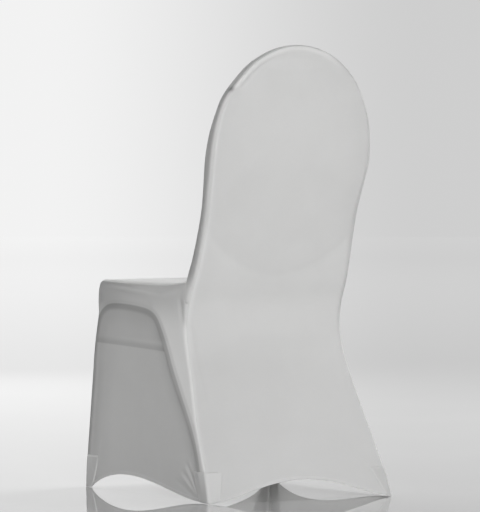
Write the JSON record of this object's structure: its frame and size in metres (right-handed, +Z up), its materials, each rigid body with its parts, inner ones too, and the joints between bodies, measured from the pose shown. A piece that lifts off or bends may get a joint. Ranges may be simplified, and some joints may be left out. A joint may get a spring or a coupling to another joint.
{
  "type": "stretch chair cover",
  "caption": "White stretch-knit cover for a round-topped banquet chair, with a smooth seat, a flared skirt, arched hems and pockets round the feet.",
  "frame": {"origin": "centre of the bounding box at its base, on the plane under the four foot pockets", "axes": "+Z up, -Y towards the sitter's front, +X towards the sitter's left"},
  "size_m": [0.4652, 0.5509, 0.94],
  "materials": {
    "stretch_cloth": "fine matt knit with a soft sheen"
  },
  "bodies": {
    "root": {"rear_panel": "stretch_cloth", "inner_back_panel": "stretch_cloth", "back_edge_band": "stretch_cloth", "seat_panel": "stretch_cloth", "front_panel": "stretch_cloth", "side_panel_left": "stretch_cloth", "side_panel_right": "stretch_cloth", "foot_pocket_rear_left": "stretch_cloth", "foot_pocket_rear_right": "stretch_cloth", "foot_pocket_front_left": "stretch_cloth", "foot_pocket_front_right": "stretch_cloth"}
  },
  "joints": []
}
